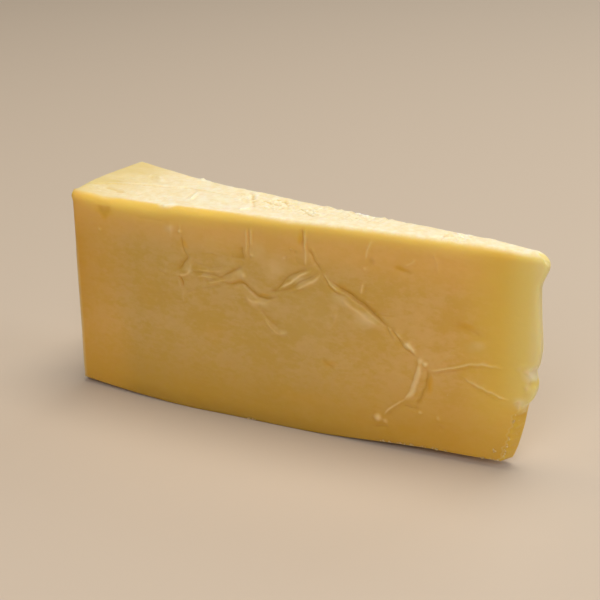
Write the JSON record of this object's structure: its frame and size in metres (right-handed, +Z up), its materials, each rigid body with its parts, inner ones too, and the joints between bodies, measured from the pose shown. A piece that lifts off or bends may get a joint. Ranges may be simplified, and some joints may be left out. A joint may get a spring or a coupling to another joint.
{
  "type": "cheddar cheese wedge",
  "caption": "Cut wedge of firm pale yellow cheddar cheese, thick at one end and tapering to a thin tip, standing on a narrow base.",
  "frame": {"origin": "on the floor, under the middle of the wedge's box", "axes": "+X along the long cut face from the thick end to the tip, +Z up, -Y out of the long cut face that the picture shows"},
  "size_m": [0.1694, 0.0492, 0.0736],
  "materials": {
    "cheddar": "satin"
  },
  "bodies": {
    "root": {"cheddar_wedge": "cheddar"}
  },
  "joints": []
}
